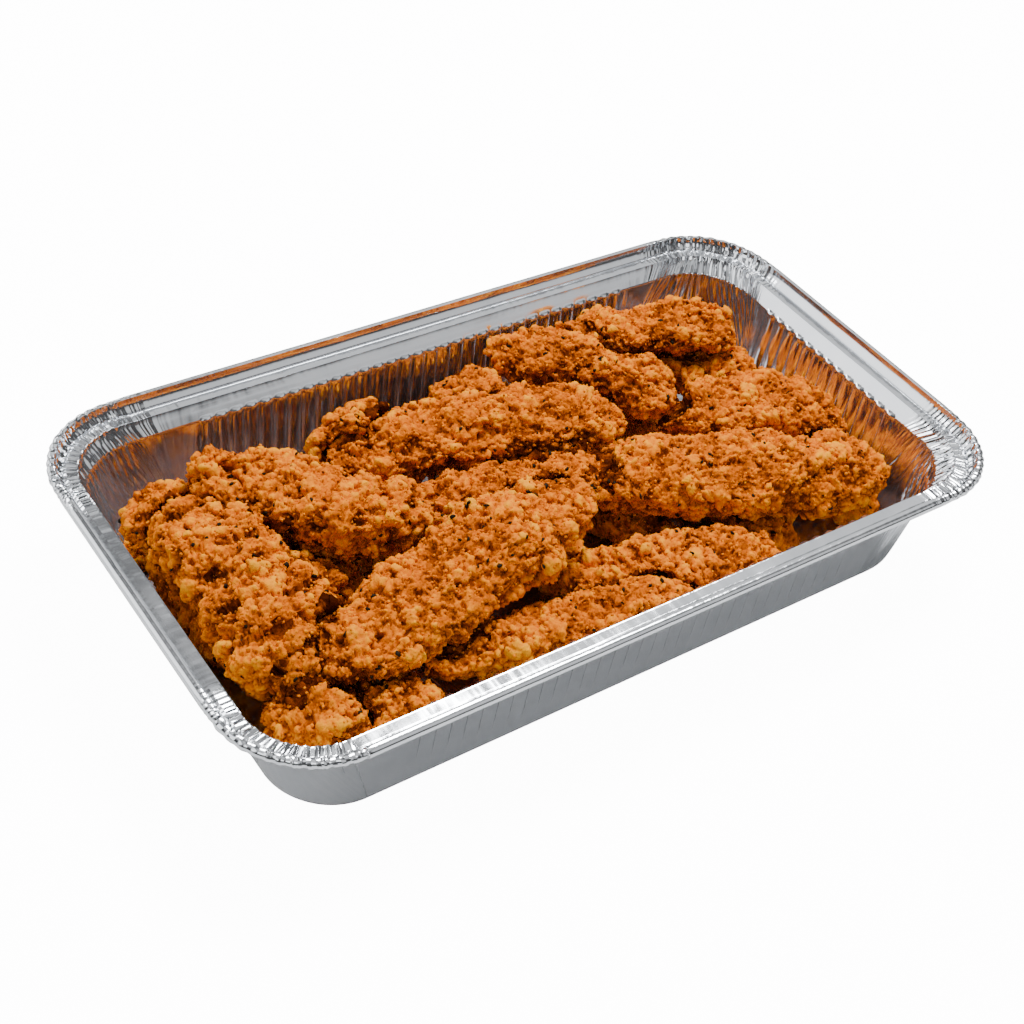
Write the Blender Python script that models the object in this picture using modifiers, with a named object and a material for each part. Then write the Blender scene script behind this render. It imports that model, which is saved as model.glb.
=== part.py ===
# Foil tray meal: an oblong aluminium foil tray filled with breaded chicken tenders.
# Metres, +Z up. The origin is under the middle of the tray, on the surface that it stands on.
# +X runs along the tray's long side and +Y along its short side.

import math

import bmesh
import bpy
from mathutils import Vector, noise

MM = 0.001

# Tray: sizes of its upper and inner face
TRAY_LENGTH = 290.0 * MM          # between the long ends of the ledge's inner edge
TRAY_WIDTH = 154.0 * MM           # between the long sides of the ledge's inner edge
LEDGE_HEIGHT = 44.35 * MM         # underside of the tray to the top of the ledge
FOIL = 0.5 * MM                   # wall of the solid, foil and its small folds together
MOUTH_CORNER = 22.5 * MM          # corner radius of the ledge's inner edge
BASE_CORNER = 32.0 * MM           # corner radius at the floor, right end
LEFT_BASE_CORNER = 24.0 * MM      # corner radius at the floor, left end
WALL_DRAFT = 0.06                 # how far the wall leans in, for each unit of height
LEFT_LEAN = 0.15                  # the left end wall leans in by this much more
FLOOR_FILLET = 3.0 * MM           # radius between wall and floor
FILLET_ANGLES = (0, 35, 65)       # loops of that fillet, in degrees up from the floor
FLAT_TRAY_ANGLE = 0.4             # tray faces that are this flat are merged
LIP_RADIUS = 0.8 * MM             # rounding between wall and ledge
LEDGE_WIDTH = 5.9 * MM            # flat ledge, inner edge to step
STEP_LEAN = 0.6 * MM              # the step face leans out by this
STEP_HEIGHT = 3.3 * MM            # straight part of the step face
BEAD_OUT = 9.15 * MM              # centre of the rolled bead, outward of the inner edge
BEAD_UP = 2.45 * MM               # centre of the rolled bead, above the ledge
BEAD_RADIUS = 2.3 * MM            # outer radius of the rolled bead
BEAD_ANGLES = (110, 66, 20, -30, -80, -128)

# Flutes pressed into the walls
FLUTE_PITCH = 5.9 * MM
FLUTES_LONG = 32                  # on each long side
FLUTES_SHORT = 13                 # on each short side
FLUTE_DEPTH = 1.3 * MM            # a rib stands this far into the tray
FLUTE_TOP_GAP = 3.4 * MM          # smooth band between the ledge and the flutes
FLUTE_ARCH = 2.2 * MM             # height over which a rib rises to its full depth
CORNER_STEPS = 7                  # faces round each corner

# Tenders
CLEARANCE = 0.45 * MM             # gap kept to neighbours and to the tray
LUMP_SIZE = 13.0 * MM             # spacing of the large lumps in the crust
LUMP_HEIGHT = 4.6 * MM
CRAG_SIZE = 7.0 * MM              # spacing of the smaller crags
CRAG_HEIGHT = 2.4 * MM
FOLD_SHARE = 0.25                 # broad folds, as a share of the lumps
FOLD_RATE = 3.0
THICK_LUMPS = 0.8                 # lumps lean a little towards the flanks
SEED_STEP = Vector((1.7, 3.1, 5.3))    # gives each tender its own lumps
FINE = (12, 16)                   # faces round and along a tender that shows well
SMALL = (10, 12)                  # a short tender
COARSE = (9, 10)                  # a tender that is only glimpsed
MERGE = 0.01 * MM                 # points of a cut nearer than this are one
FLAT_ANGLES = (4, 3, 2, 1)        # faces of a cut tender that are this flat are merged
TOP_SHARE = 0.3                   # the upper side gets narrower faces than the underside
END_BLUNTNESS = 2.6               # how far the full width runs towards the ends
END_ROUNDNESS = 1 / 2.2
RING_EVENNESS = 0.45              # share of even spacing in the rings along a tender
SQUARENESS = 0.85                 # below 1 the cross-section is fuller than an ellipse
WANDER = 0.14                     # how much the width changes along a tender
POLE_SPREAD = 0.05                # nearer the end than this, lumps push along the axis
WALL_SPARE = 0.2 * MM             # added to the clearance at the tray's walls

# Each row is one tender in millimetres, the topmost first: a lower one gives way to those above.
# name, tail (x, y, z), head (x, y, z), width, depth, bend sideways, arch upwards, roll in degrees,
# taper of the tail, faces
TENDERS = (
    ("tender_high_front", (10, -16, 43), (-117, -44, 32), 45, 24, -3, 3, -6, 0.30, FINE),
    ("tender_centre_upper", (-62, 44, 30), (50, 11, 36), 41, 23, -3, 3, 4, 0.20, FINE),
    ("tender_back_raised", (50, 61, 37), (118, 30, 45), 29, 20, 4, 2, -4, 0.20, FINE),
    ("tender_upper_left", (-110, 56, 35), (-47, -9, 35), 37, 24, 3, 3, 0, 0.05, FINE),
    ("tender_back_centre", (20, 68, 36), (74, 8, 37), 32, 22, -3, 3, 0, 0.20, FINE),
    ("tender_left_front", (-120, 45, 32), (-117, -52, 30), 45, 27, -3, 5, 0, 0.10, FINE),
    ("tender_right_front", (12, 1, 29), (126, -56, 31), 42, 28, 4, 3, 4, 0.15, FINE),
    ("tender_centre_lower", (-48, 12, 28), (36, -4, 32), 34, 22, 4, 2, 10, 0.20, FINE),
    ("tender_right_back", (62, 6, 31), (130, -30, 32), 36, 23, -10, 3, -4, 0.10, FINE),
    ("tender_right_wall", (80, 40, 29), (123, 13, 27), 28, 19, 0, 1, -8, 0.15, SMALL),
    ("tender_back_left", (-63, 54, 30), (-26, 46, 29), 29, 20, 0, 1, 0, 0.10, SMALL),
    ("tender_back_nub", (-8, 62, 28), (28, 44, 29), 28, 20, 0, 1, 0, 0.10, SMALL),
    ("tender_left_side", (-108, 22, 28), (-86, -12, 27), 30, 20, 0, 0, 0, 0.0, COARSE),
    ("tender_far_left", (-136, 48, 24), (-100, 46, 26), 30, 22, 0, 1, 0, 0.10, COARSE),
    ("tender_front_long", (-84, -52, 26), (22, -66, 28), 29, 22, 3, 2, 0, 0.20, FINE),
    ("tender_front_right", (-14, -36, 21), (66, -64, 23), 34, 20, 4, 2, 0, 0.15, FINE),
    ("tender_front_corner", (-129, -60, 22), (-106, -40, 28), 34, 23, 0, 1, 0, 0.05, SMALL),
    ("tender_front_left", (-112, -56, 22), (-78, -62, 23), 28, 21, 0, 1, 0, 0.05, COARSE),
    ("tender_low_left", (-120, 58, 13), (-116, -38, 13), 34, 23, 0, 0, 0, 0.10, COARSE),
    ("tender_low_gap", (-88, 46, 13), (-80, -42, 13), 30, 22, 0, 0, 0, 0.10, COARSE),
    ("tender_low_middle", (-52, 54, 13), (-44, -36, 13), 34, 23, 0, 0, 0, 0.10, COARSE),
    ("tender_low_centre", (-12, 58, 13), (0, -40, 13), 34, 23, 0, 0, 0, 0.10, COARSE),
    ("tender_low_back", (32, 60, 13), (38, -40, 13), 34, 23, 0, 0, 0, 0.10, COARSE),
    ("tender_low_right", (76, 56, 13), (80, -62, 13), 36, 23, 0, 0, 0, 0.10, COARSE),
    ("tender_low_end", (118, 50, 13), (120, -62, 13), 32, 23, 0, 0, 0, 0.10, COARSE),
)

CRUST_COLOUR = (0.62, 0.20, 0.03, 1.0)
CRUST_ROUGHNESS = 0.62
CRUST_SMOOTH = 70                 # edges sharper than this many degrees stay crisp
FOIL_COLOUR = (0.62, 0.63, 0.65, 1.0)
FOIL_ROUGHNESS = 0.32
FOIL_SMOOTH = 40


def clear_scene():
    for thing in list(bpy.data.objects):
        bpy.data.objects.remove(thing, do_unlink=True)


def make_collection(name):
    collection = bpy.data.collections.new(name)
    bpy.context.scene.collection.children.link(collection)
    return collection


def make_material(name, colour, roughness, metallic):
    material = bpy.data.materials.new(name)
    material.use_nodes = True
    shader = material.node_tree.nodes["Principled BSDF"]
    shader.inputs["Base Color"].default_value = colour
    shader.inputs["Roughness"].default_value = roughness
    shader.inputs["Metallic"].default_value = metallic
    material.diffuse_color = colour
    return material


def add_object(name, bm, collection, material, smooth_angle):
    mesh = bpy.data.meshes.new(name)
    bm.to_mesh(mesh)
    bm.free()
    mesh.materials.append(material)
    mesh.shade_smooth()
    mesh.set_sharp_from_angle(angle=math.radians(smooth_angle))
    thing = bpy.data.objects.new(name, mesh)
    collection.objects.link(thing)
    return thing


# Tray

def wall_inset(height):
    """How far the smooth inner wall stands inside the ledge's inner edge at a height."""
    return WALL_DRAFT * (LEDGE_HEIGHT - height)


def corner_radius(height, base_corner):
    share = min(max(height / LEDGE_HEIGHT, 0.0), 1.0)
    return base_corner + (MOUTH_CORNER - base_corner) * share


def left_shift(height):
    """The left end wall leans in more than the other three."""
    return LEFT_LEAN * max(0.0, LEDGE_HEIGHT - height)


def side_stations(start, end, flutes):
    """Places along a side where the grid has a column, and whether a rib is there."""
    first = -flutes * FLUTE_PITCH / 2
    stations = [(start, False)]
    for i in range(2 * flutes + 1):
        stations.append((first + i * FLUTE_PITCH / 2, i % 2 == 1))
    stations.append((end, False))
    return stations


def rim_loop(outset, height, inward, rib):
    """One closed loop of the tray at a height, outset from the ledge's inner edge."""
    right = TRAY_LENGTH / 2 + outset
    left = right - left_shift(height)
    half_y = TRAY_WIDTH / 2 + outset
    grown = max(outset, 0.0) - inward
    wide = corner_radius(height, BASE_CORNER) + grown
    tight = corner_radius(height, LEFT_BASE_CORNER) + grown
    sides = (
        (tight - left, right - wide, half_y, FLUTES_LONG, 0, wide),
        (wide - half_y, half_y - wide, right, FLUTES_SHORT, 90, wide),
        (wide - right, left - tight, half_y, FLUTES_LONG, 180, tight),
        (tight - half_y, half_y - tight, left, FLUTES_SHORT, 270, tight),
    )
    points = []
    for start, end, half_across, flutes, turn, radius in sides:
        angle = math.radians(turn)
        along = Vector((math.cos(angle), math.sin(angle), 0))
        across = Vector((math.sin(angle), -math.cos(angle), 0))
        for place, is_rib in side_stations(start, end, flutes):
            stand = rib if is_rib else 0.0
            points.append(along * place + across * (half_across - stand) + Vector((0, 0, height)))
        centre = along * end + across * (half_across - radius)
        for i in range(1, CORNER_STEPS):
            bend = math.radians(90) * i / CORNER_STEPS
            arm = across * math.cos(bend) + along * math.sin(bend)
            points.append(centre + arm * radius + Vector((0, 0, height)))
    return points


def tray_profile():
    """Loops from the floor out to the end of the rolled bead: outset, height, inward, rib."""
    rows = []
    wall_foot = FOIL + FLOOR_FILLET
    for degrees in FILLET_ANGLES:
        bend = math.radians(degrees)
        inward = FLOOR_FILLET * (1 - math.sin(bend))
        height = FOIL + FLOOR_FILLET * (1 - math.cos(bend))
        rows.append((-wall_inset(wall_foot) - inward, height, inward, 0.0))
    rib_foot = wall_foot + FLUTE_ARCH
    rib_top = LEDGE_HEIGHT - FLUTE_TOP_GAP
    full_top = rib_top - FLUTE_ARCH
    lip_foot = LEDGE_HEIGHT - LIP_RADIUS
    for height, rib in ((wall_foot, 0.0), (rib_foot, FLUTE_DEPTH), (full_top, FLUTE_DEPTH),
                        (rib_top, 0.0), (lip_foot, 0.0)):
        rows.append((-wall_inset(height), height, 0.0, rib))
    rows.append((LIP_RADIUS, LEDGE_HEIGHT, 0.0, 0.0))
    rows.append((LEDGE_WIDTH, LEDGE_HEIGHT, 0.0, 0.0))
    rows.append((LEDGE_WIDTH + STEP_LEAN, LEDGE_HEIGHT + STEP_HEIGHT, 0.0, 0.0))
    for degrees in BEAD_ANGLES:
        angle = math.radians(degrees)
        outset = BEAD_OUT + BEAD_RADIUS * math.cos(angle)
        height = LEDGE_HEIGHT + BEAD_UP + BEAD_RADIUS * math.sin(angle)
        rows.append((outset, height, 0.0, 0.0))
    return rows


def build_tray(collection, material):
    bm = bmesh.new()
    loops = []
    for outset, height, inward, rib in tray_profile():
        loops.append([bm.verts.new(point) for point in rim_loop(outset, height, inward, rib)])
    bm.faces.new(loops[0])
    count = len(loops[0])
    for lower, upper in zip(loops, loops[1:]):
        for i in range(count):
            j = (i + 1) % count
            bm.faces.new((lower[i], lower[j], upper[j], upper[i]))
    bmesh.ops.recalc_face_normals(bm, faces=bm.faces)
    floor = min(bm.faces, key=lambda face: face.calc_center_median().z)
    if floor.normal.z < 0:
        bmesh.ops.reverse_faces(bm, faces=bm.faces)
    flat = math.radians(FLAT_TRAY_ANGLE)
    bmesh.ops.dissolve_limit(bm, angle_limit=flat, verts=bm.verts, edges=bm.edges)
    tray = add_object("tray", bm, collection, material, FOIL_SMOOTH)
    wall = tray.modifiers.new("Foil wall", "SOLIDIFY")
    wall.thickness = FOIL
    wall.offset = -1
    wall.use_even_offset = True
    wall.use_quality_normals = True
    return tray


# Tenders

def relief(point, shift):
    """Height of the crust's lumps and crags at a point of the plain form."""
    lump = noise.noise(point / LUMP_SIZE + shift)
    crag = noise.noise(point / CRAG_SIZE - shift)
    fold = math.sin((point + shift * LUMP_SIZE).length / LUMP_SIZE * FOLD_RATE)
    return LUMP_HEIGHT * (lump + FOLD_SHARE * fold) + CRAG_HEIGHT * crag


def face_outwards(bm):
    bm.normal_update()
    bmesh.ops.recalc_face_normals(bm, faces=bm.faces)
    if bm.calc_volume(signed=True) < 0:
        bmesh.ops.reverse_faces(bm, faces=bm.faces)
    bm.normal_update()


def tender_form(row, number):
    """A tapered, bent and lumpy loaf, with rings that gather towards both ends."""
    tail, head, width, depth, bend, arch, roll, taper, faces = row[1:]
    tail = Vector(tail) * MM
    head = Vector(head) * MM
    axis = (head - tail).normalized()
    side = axis.cross(Vector((0, 0, 1))).normalized()
    up = side.cross(axis)
    turn = math.radians(roll)
    wide = side * math.cos(turn) + up * math.sin(turn)
    thick = up * math.cos(turn) - side * math.sin(turn)
    middle = (tail + head) / 2 + (side * bend + up * arch) * 2 * MM
    shift = SEED_STEP * (number + 1)
    around, along = faces
    bm = bmesh.new()
    bmesh.ops.create_uvsphere(bm, u_segments=around, v_segments=along, radius=1.0)
    for vert in bm.verts:
        polar = math.acos(max(-1.0, min(1.0, vert.co.z)))
        even = polar / math.pi
        gathered = (1 - math.cos(polar)) / 2
        t = RING_EVENNESS * even + (1 - RING_EVENNESS) * gathered
        spread = (1 - abs(2 * t - 1) ** END_BLUNTNESS) ** END_ROUNDNESS
        wander = 1 + WANDER * noise.noise(Vector((t, number, 0.5)) * FOLD_RATE)
        slim = 1 - taper * (1 - t) ** 1.5
        size = spread * wander * slim
        spine = tail * (1 - t) ** 2 + middle * 2 * t * (1 - t) + head * t ** 2
        angle = math.atan2(vert.co.y, vert.co.x)
        angle += TOP_SHARE * math.cos(angle)
        across = math.copysign(abs(math.cos(angle)) ** SQUARENESS, math.cos(angle))
        rise = math.copysign(abs(math.sin(angle)) ** SQUARENESS, math.sin(angle))
        ring = wide * across * width / 2 * MM * size + thick * rise * depth / 2 * MM * size
        outward = wide * across + thick * rise * THICK_LUMPS
        if spread < POLE_SPREAD:
            outward = axis * math.copysign(1, t - 0.5)
        plain = spine + ring
        vert.co = keep_in_tray(plain + outward.normalized() * relief(plain, shift))
    bmesh.ops.triangulate(bm, faces=bm.faces)
    face_outwards(bm)
    return bm


def keep_in_tray(point):
    """Moves a point to the tray's inside, clear of floor, fillet, walls and ribs."""
    clear = CLEARANCE + WALL_SPARE
    z = max(point.z, FOIL + clear)
    if z > LEDGE_HEIGHT - FLUTE_TOP_GAP + clear:
        rib = 0.0
    else:
        rib = FLUTE_DEPTH
    lift = max(0.0, FOIL + FLOOR_FILLET - z)
    fillet = FLOOR_FILLET - math.sqrt(max(0.0, FLOOR_FILLET ** 2 - lift ** 2))
    inset = wall_inset(z) + max(rib, fillet) + clear
    half_y = TRAY_WIDTH / 2 - inset
    half_x = TRAY_LENGTH / 2 - inset
    radius = corner_radius(z, BASE_CORNER)
    x, y = point.x, point.y
    if x < 0:
        half_x -= left_shift(z)
        radius = corner_radius(z, LEFT_BASE_CORNER)
    out_x = abs(x) - (half_x - radius)
    out_y = abs(y) - (half_y - radius)
    if out_x > 0 and out_y > 0:
        reach = math.hypot(out_x, out_y)
        if reach > radius:
            x = math.copysign(half_x - radius + out_x * radius / reach, x)
            y = math.copysign(half_y - radius + out_y * radius / reach, y)
    else:
        x = max(-half_x, min(half_x, x))
        y = max(-half_y, min(half_y, y))
    return Vector((x, y, z))


def inflated(bm):
    """A copy of the form that stands proud of it by the clearance, to cut those below."""
    cutter = bm.copy()
    cutter.normal_update()
    for vert, plain in zip(cutter.verts, bm.verts):
        vert.co = plain.co + plain.normal * CLEARANCE
    return cutter


def boxes_meet(first, second):
    return all(first[0][i] < second[1][i] and second[0][i] < first[1][i] for i in range(3))


def box_of(bm):
    low = Vector([min(vert.co[i] for vert in bm.verts) for i in range(3)])
    high = Vector([max(vert.co[i] for vert in bm.verts) for i in range(3)])
    return low, high


def keep_largest(bm):
    """Drops the loose scraps that a cut leaves beside the main body."""
    left = set(bm.verts)
    bodies = []
    while left:
        stack = [left.pop()]
        body = set(stack)
        while stack:
            vert = stack.pop()
            for edge in vert.link_edges:
                other = edge.other_vert(vert)
                if other in left:
                    left.discard(other)
                    body.add(other)
                    stack.append(other)
        bodies.append(body)
    bodies.sort(key=len)
    scraps = [vert for body in bodies[:-1] for vert in body]
    bmesh.ops.delete(bm, geom=scraps, context="VERTS")


def is_closed(bm):
    return all(edge.is_manifold for edge in bm.edges)


def merge_flat_faces(bm):
    """A copy with nearly flat neighbours merged, as far as the body stays closed."""
    for degrees in FLAT_ANGLES:
        lighter = bm.copy()
        flat = math.radians(degrees)
        bmesh.ops.dissolve_limit(
            lighter, angle_limit=flat, verts=lighter.verts, edges=lighter.edges)
        bmesh.ops.triangulate(lighter, faces=lighter.faces)
        if is_closed(lighter):
            return lighter
        lighter.free()
    return bm.copy()


def cut_by(thing, cutters):
    """Takes the room of the tenders above out of a tender, and tidies the cut."""
    for cutter in cutters:
        cut = thing.modifiers.new("Room for neighbour", "BOOLEAN")
        cut.operation = "DIFFERENCE"
        cut.object = cutter
    bpy.context.view_layer.update()
    graph = bpy.context.evaluated_depsgraph_get()
    result = bpy.data.meshes.new_from_object(thing.evaluated_get(graph))
    thing.modifiers.clear()
    bm = bmesh.new()
    bm.from_mesh(result)
    bpy.data.meshes.remove(result)
    bmesh.ops.remove_doubles(bm, verts=bm.verts, dist=MERGE)
    keep_largest(bm)
    bmesh.ops.triangulate(bm, faces=bm.faces)
    lighter = merge_flat_faces(bm)
    lighter.to_mesh(thing.data)
    lighter.free()
    bm.free()


def build_tenders(collection, cutters, material):
    placed = []
    for number, row in enumerate(TENDERS):
        bm = tender_form(row, number)
        box = box_of(bm)
        swollen = inflated(bm)
        thing = add_object(row[0], bm, collection, material, CRUST_SMOOTH)
        cutter = add_object(row[0] + "_room", swollen, cutters, material, CRUST_SMOOTH)
        cutter.hide_render = True
        cutter.display_type = "WIRE"
        above = [item for item, other in placed if boxes_meet(box, other)]
        cut_by(thing, above)
        placed.append((cutter, box))
    for cutter, _ in placed:
        bpy.data.objects.remove(cutter)


def main():
    clear_scene()
    model = make_collection("foil_tray_meal")
    foil = make_material("Foil", FOIL_COLOUR, FOIL_ROUGHNESS, 1.0)
    crust = make_material("Crust", CRUST_COLOUR, CRUST_ROUGHNESS, 0.0)
    cutters = make_collection("cutters")
    build_tray(model, foil)
    build_tenders(model, cutters, crust)


main()
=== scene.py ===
# %% [markdown]
# # A foil tray of breaded chicken tenders
#
# The object is a takeaway tray: thin aluminium foil pressed into an oblong tub with fluted
# walls, pleated corners and a rolled rim, heaped with craggy fried chicken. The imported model
# gives the plain solids. This lesson dresses them: first the foil, then the crust, then the light.

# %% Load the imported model
import math

import bmesh
import bpy
import numpy as np
from mathutils import Matrix, Vector


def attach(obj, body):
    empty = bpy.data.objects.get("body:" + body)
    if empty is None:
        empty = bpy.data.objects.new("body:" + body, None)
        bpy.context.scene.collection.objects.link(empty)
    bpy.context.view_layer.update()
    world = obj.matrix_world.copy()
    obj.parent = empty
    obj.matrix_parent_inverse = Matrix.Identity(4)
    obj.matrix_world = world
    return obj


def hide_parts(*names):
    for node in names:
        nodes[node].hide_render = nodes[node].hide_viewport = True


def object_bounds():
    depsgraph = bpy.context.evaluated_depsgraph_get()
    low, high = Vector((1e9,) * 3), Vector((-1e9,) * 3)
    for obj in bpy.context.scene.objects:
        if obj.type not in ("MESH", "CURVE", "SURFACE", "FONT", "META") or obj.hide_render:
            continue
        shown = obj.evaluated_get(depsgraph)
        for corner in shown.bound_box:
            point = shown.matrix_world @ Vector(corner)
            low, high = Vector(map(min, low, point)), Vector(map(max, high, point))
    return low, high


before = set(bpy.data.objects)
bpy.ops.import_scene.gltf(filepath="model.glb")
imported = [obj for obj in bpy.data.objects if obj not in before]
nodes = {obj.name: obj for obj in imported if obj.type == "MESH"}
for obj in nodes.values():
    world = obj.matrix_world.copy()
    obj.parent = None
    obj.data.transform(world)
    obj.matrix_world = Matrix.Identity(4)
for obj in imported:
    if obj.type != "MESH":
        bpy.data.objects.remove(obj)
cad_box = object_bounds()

MM = 0.001
tenders = sorted(name for name in nodes if name.startswith("tender_"))
print("solids:", len(nodes), "tenders:", len(tenders))

# %% [markdown]
# ## Helpers for node trees
#
# Materials and Geometry Nodes are both trees of nodes with wires between them. They could be
# wired by hand in the editor. A few small helpers do the same in code: they add a node and fill
# its inputs, add a sum, open a new group with named inputs and outputs, and run a finished tree.

# %% Node helpers
def pick_input(node, key):
    if isinstance(key, int):
        return node.inputs[key]
    return next(socket for socket in node.inputs if socket.name == key and socket.enabled)


def add_node(tree, kind, inputs=None, **settings):
    node = tree.nodes.new(kind)
    for name, value in settings.items():
        setattr(node, name, value)
    for key, value in (inputs or {}).items():
        socket = pick_input(node, key)
        if isinstance(value, bpy.types.NodeSocket):
            tree.links.new(value, socket)
        else:
            socket.default_value = value
    return node


def live_output(node):
    return next(socket for socket in node.outputs if socket.enabled)


def calc(tree, operation, first, second=0.0, third=0.0):
    values = {0: first, 1: second, 2: third}
    return add_node(tree, "ShaderNodeMath", values, operation=operation).outputs[0]


def vector_calc(tree, operation, first, second=(0.0, 0.0, 0.0)):
    node = add_node(tree, "ShaderNodeVectorMath", {0: first, 1: second}, operation=operation)
    return node.outputs[0]


def scaled(tree, vector, factor):
    node = add_node(tree, "ShaderNodeVectorMath", {0: vector, "Scale": factor}, operation="SCALE")
    return node.outputs[0]


def mapped(tree, value, low, high, first=0.0, last=1.0):
    """Takes low to first and high to last, and stops there."""
    node = add_node(tree, "ShaderNodeMapRange", {0: value, 1: low, 2: high, 3: first, 4: last})
    return node.outputs[0]


def along_direction(tree, vector, direction):
    node = add_node(tree, "ShaderNodeVectorMath", {0: vector, 1: direction},
                    operation="DOT_PRODUCT")
    return node.outputs["Value"]


def new_group(name, kind, inputs, outputs):
    tree = bpy.data.node_groups.new(name, kind)
    for label, socket, value in inputs:
        item = tree.interface.new_socket(label, in_out="INPUT", socket_type=socket)
        if value is not None:
            item.default_value = value
    for label, socket in outputs:
        tree.interface.new_socket(label, in_out="OUTPUT", socket_type=socket)
    start = tree.nodes.new("NodeGroupInput")
    end = tree.nodes.new("NodeGroupOutput")
    return tree, start.outputs, end.inputs


def run_tree(thing, tree, values):
    """Runs a geometry tree on an object with values by input name, and returns a plain mesh."""
    step = thing.modifiers.new(tree.name, "NODES")
    step.node_group = tree
    for item in tree.interface.items_tree:
        if item.in_out == "INPUT" and item.name in values:
            step[item.identifier] = values[item.name]
    bpy.context.view_layer.update()
    graph = bpy.context.evaluated_depsgraph_get()
    mesh = bpy.data.meshes.new_from_object(thing.evaluated_get(graph))
    thing.modifiers.clear()
    return mesh


print("helpers ready")

# %% [markdown]
# ## The tray's sizes
#
# A press draws the tray from one sheet of foil, so one profile describes it: floor, fillet, wall,
# a flared band, a flat ledge, a short step and a bead that is rolled over to hide the raw edge.
# The same driving sizes as in the solid model are written here in millimetres.

# %% Sizes of the tray
LENGTH = 290.0 * MM               # between the long ends of the ledge's inner edge
WIDTH = 154.0 * MM
LEDGE = 44.35 * MM                # height of the ledge
FOIL = 0.35 * MM
MOUTH_CORNER = 22.5 * MM
BASE_CORNER = 32.0 * MM
LEFT_BASE_CORNER = 24.0 * MM
DRAFT = 0.06                      # how far the wall leans in, for each unit of height
LEFT_LEAN = 0.15                  # the left end wall leans in by this much more
LEFT_SHIFT = 2.7 * MM             # and its top stands nearer to the ledge
LEFT_BLEND = (-2.6 * MM, 1.0 * MM)  # the shift fades out between these two outsets
LEFT_PRESS = 0.15                 # its ribs are shallower
FILLET = 3.0 * MM
FLOOR = 0.5 * MM                  # upper face of the floor
FLARE = 0.6                       # above the flare line the wall opens by this much per height
FLARE_LINE = LEDGE - 5.4 * MM
LIP = ((2.55, 1.2), (3.2, 0.1), (3.3, -0.08), (3.62, 0.0))  # out and down, in mm
WALL_IN = 2.3 * MM                # the wall's top stands inside the ledge's inner edge
LEDGE_WIDTH = 5.9 * MM
STEP = ((6.1, 0.1), (6.5, 0.5), (7.1, 1.2), (7.6, 1.95), (7.95, 2.75), (8.15, 3.5))
BEAD_OUT = 9.15 * MM
BEAD_UP = 2.45 * MM
BEAD_RADIUS = 2.12 * MM
GROOVE = 0.50 * MM                # depth of the line pressed where ledge and step meet

PITCH = 5.9 * MM                  # one flute
FLUTES_LONG = 32
FLUTES_SHORT = 13
FLUTE_DEPTH = 0.95 * MM
FLUTE_FADE = 13.0 * MM            # a rib dies out downward over this length
FLUTE_TOP = LEDGE - 4.0 * MM
FLUTE_FOOT = FLOOR + FILLET
FLUTE_ARCH = 2.9 * MM             # the rounded end of a rib
RIB_PLACES = (-1, -0.92, -0.8, -0.5, 0, 0.5, 0.8, 0.92)  # columns in one flute
PLAIN_COLUMNS = 14                # columns between the last flute and the corner
CORNER_COLUMNS = 64
print("tray at the ledge:", LENGTH, "by", WIDTH)

# %% [markdown]
# ## The profile
#
# Each row of the profile has a distance outward from the ledge's inner edge, a height, and the
# zone it belongs to. Rows lie close together where the foil bends or where a flute ends, and far
# apart where it runs straight, so faces are spent where the eye finds them.

# %% Rows of the profile
FILLET_TURNS = (0, 25, 50, 72)    # degrees
WALL_HEIGHTS = (3.5, 6.0, 10.0, 16.8, 24.0, 31.0, 37.2, 38.1, 38.95, 39.4, 39.8, 40.15, 40.4,
                41.2, 42.1)
LEDGE_OUT = (1.45, 3.0, 4.7, 4.85)
GROOVE_OUT = 5.75
BEAD_TURNS = (112, 86, 60, 34, 8, -18, -44, -72, -100, -126)


def tray_rows():
    rows = []
    foot = FLOOR + FILLET
    for degrees in FILLET_TURNS:
        bend = math.radians(degrees)
        inward = FILLET * (1 - math.sin(bend))
        height = FLOOR + FILLET * (1 - math.cos(bend))
        rows.append((-WALL_IN - DRAFT * (LEDGE - foot) - inward, height, inward, "floor"))
    for height in WALL_HEIGHTS:
        height *= MM
        flare = FLARE * max(height - FLARE_LINE, 0.0)
        rows.append((flare - WALL_IN - DRAFT * (LEDGE - height), height, 0.0, "wall"))
    for out, down in LIP:
        rows.append((out * MM - WALL_IN, LEDGE - down * MM, 0.0, "lip"))
    for out in LEDGE_OUT:
        rows.append((out * MM, LEDGE, 0.0, "ledge"))
    rows.append((GROOVE_OUT * MM, LEDGE - GROOVE, 0.0, "groove"))
    rows.append((LEDGE_WIDTH, LEDGE - GROOVE, 0.0, "groove"))
    for out, up in STEP:
        rows.append((out * MM, LEDGE + up * MM, 0.0, "step"))
    for degrees in BEAD_TURNS:
        bend = math.radians(degrees)
        out = BEAD_OUT + BEAD_RADIUS * math.cos(bend)
        rows.append((out, LEDGE + BEAD_UP + BEAD_RADIUS * math.sin(bend), 0.0, "bead"))
    return rows


rows = tray_rows()
print("profile rows:", len(rows))

# %% [markdown]
# ## Round the tray
#
# Every row goes once round the tray: four straight sides and four corners. The columns stay in
# line from the floor to the bead, so the flutes run straight up the wall. The columns also carry
# the distance along the ledge, which the pleats follow.

# %% One loop of columns
def side_places(end_low, end_high, flutes):
    """Places along a side: plain, fluted, plain."""
    reach = flutes * PITCH / 2
    before = np.linspace(end_low, -reach, PLAIN_COLUMNS, endpoint=False)
    turns = np.add.outer(np.arange(flutes), (np.array(RIB_PLACES) + 1) / 2).ravel()
    fluted = np.append(turns, flutes) * PITCH - reach
    after = np.linspace(reach, end_high, PLAIN_COLUMNS + 1)[1:]
    return np.concatenate((before, fluted, after))


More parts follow.
